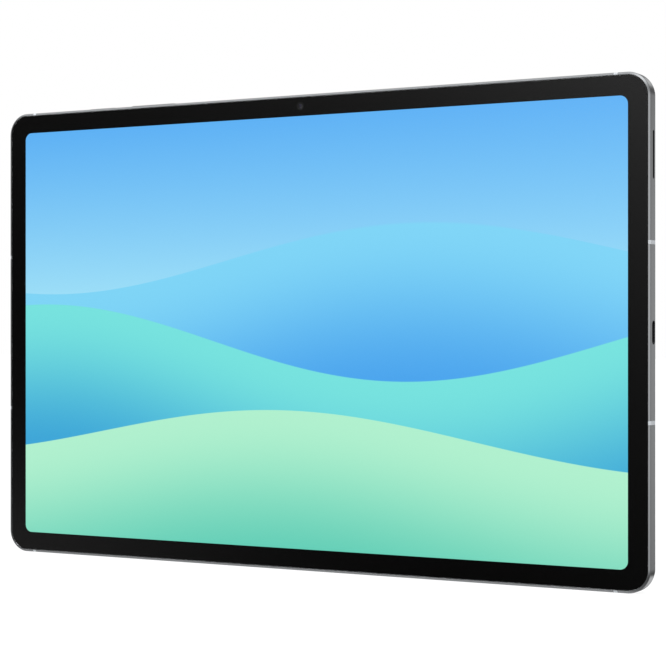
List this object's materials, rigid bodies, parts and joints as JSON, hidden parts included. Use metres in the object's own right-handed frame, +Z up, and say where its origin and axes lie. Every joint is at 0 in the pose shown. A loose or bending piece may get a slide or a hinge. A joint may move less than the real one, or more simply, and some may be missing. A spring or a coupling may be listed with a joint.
{
  "type": "tablet computer",
  "caption": "Thin rectangular tablet computer with rounded corners, a glass front over a lit screen, a metal frame and cover, side keys, a card tray, slots and a camera on each face.",
  "frame": {"origin": "middle of the long bottom edge that the tablet stands on, at half its thickness", "axes": "+X across the long side towards the charging socket, +Y from the screen to the rear cover, +Z up the screen; the screen faces -Y"},
  "size_m": [0.3008, 0.007, 0.1952],
  "materials": {
    "frame_metal": "fine bead-blasted, anodised grey",
    "band_plastic": "satin",
    "glass": "polished",
    "black_ink": "gloss black",
    "clear_adhesive": "clear",
    "screen": "lit picture",
    "white_film": "matt",
    "black_foam": "matt",
    "amber_film": "satin",
    "board": "satin",
    "steel": "satin",
    "screw_steel": "satin",
    "ring_metal": "turned and polished",
    "graphite": "matt",
    "battery_foil": "satin",
    "black_film": "matt",
    "chip": "matt",
    "white_plastic": "matt",
    "black_plastic": "matt",
    "gold": "polished",
    "mesh": "black-coated weave",
    "lens": "coated",
    "led": "gloss",
    "clear_plastic": "clear",
    "seal_rubber": "matt"
  },
  "bodies": {
    "tablet_body": {"frame": "frame_metal", "antenna_bands": "band_plastic", "cover_glass": "glass", "border_ink": "black_ink", "optical_adhesive": "clear_adhesive", "display_panel": "screen", "backlight_unit": "white_film", "display_gasket": "black_foam", "display_flex": "amber_film", "display_driver_board": "board", "display_cable": "amber_film", "middle_plate": "steel", "rear_cover": "frame_metal", "cover_adhesive": "black_foam", "graphite_sheet": "graphite", "battery_left": "battery_foil", "battery_right": "battery_foil", "battery_tape": "white_film", "battery_board": "board", "insulating_film": "black_film", "main_board": "board", "processor": "chip", "memory_chips": "chip", "power_chips": "chip", "shield_cans": "steel", "board_screws": "screw_steel", "antenna_carriers": "white_plastic", "antenna_flexes": "amber_film", "sub_board": "board", "sub_board_cable": "amber_film", "usb_shell": "steel", "usb_tongue": "black_plastic", "usb_contacts": "gold", "speaker_left": "black_plastic", "speaker_right": "black_plastic", "speaker_mesh_left": "mesh", "speaker_mesh_right": "mesh", "microphone_top": "steel", "microphone_left": "steel", "front_camera": "black_plastic", "front_camera_lens": "lens", "rear_camera": "black_plastic", "rear_camera_cable": "amber_film", "rear_camera_ring": "ring_metal", "rear_camera_glass": "lens", "flash_led": "led", "flash_lens": "clear_plastic", "dome_switches": "steel", "button_flex": "amber_film", "button_bracket": "steel", "card_socket": "steel", "lever_pin": "steel"},
    "power_button": {"power_button": "frame_metal"},
    "volume_rocker": {"volume_rocker": "frame_metal"},
    "card_tray": {"card_tray": "frame_metal", "tray_seal": "seal_rubber"},
    "eject_rod": {"eject_rod": "steel"},
    "eject_lever": {"eject_lever": "steel"}
  },
  "joints": [
    {"name": "power_press", "type": "slide", "parent": "tablet_body", "child": "power_button", "axis": [0, 0, -1], "range_m": [0, 0.0003], "stiffness_N_per_m": 1500, "springref_m": -0.0002},
    {"name": "volume_rock", "type": "hinge", "parent": "tablet_body", "child": "volume_rocker", "pos_m": [-0.0744, 0.0002, 0.19195], "axis": [0, 1, 0], "range_deg": [-1.2, 1.2], "stiffness_Nm_per_rad": 0.6},
    {"name": "tray_slide", "type": "slide", "parent": "tablet_body", "child": "card_tray", "axis": [0, 0, 1], "range_m": [0, 0.026]},
    {"name": "eject_push", "type": "slide", "parent": "tablet_body", "child": "eject_rod", "axis": [0, 0, -1], "range_m": [0, 0.0012], "stiffness_N_per_m": 5, "springref_m": -0.0003},
    {"name": "lever_turn", "type": "hinge", "parent": "tablet_body", "child": "eject_lever", "pos_m": [-0.04065, 0.00055, 0.16865], "axis": [0, 1, 0], "range_deg": [0, 14.5]}
  ],
  "couplings": [
    {"joint": "lever_turn", "follows": "eject_push", "rad_per_m": 206.19}
  ]
}
